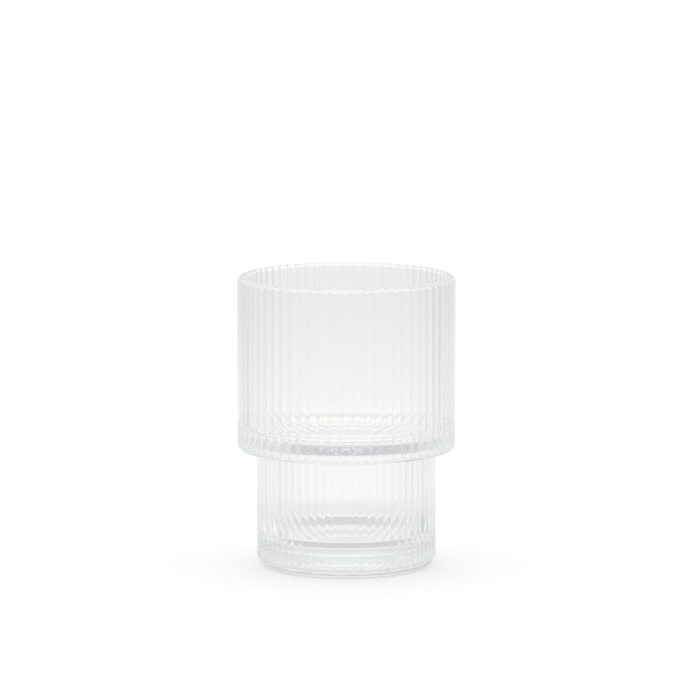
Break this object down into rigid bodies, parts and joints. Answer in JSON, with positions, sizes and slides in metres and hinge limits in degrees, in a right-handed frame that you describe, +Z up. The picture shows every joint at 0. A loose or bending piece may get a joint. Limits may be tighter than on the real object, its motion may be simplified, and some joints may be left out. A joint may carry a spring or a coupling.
{
  "type": "chai glass",
  "caption": "Clear ribbed tumbler in two tiers: a wide drum on a narrower foot that seats in the mouth of the next glass when stacked.",
  "frame": {"origin": "centre of the base, on the plane the glass stands on", "axes": "+Z up along the axis of the glass, out of its mouth; the glass is round, so X and Y are free"},
  "size_m": [0.075, 0.075, 0.1006],
  "materials": {
    "glass": "clear pressed glass, fire-polished"
  },
  "bodies": {
    "root": {"tumbler": "glass"}
  },
  "joints": []
}
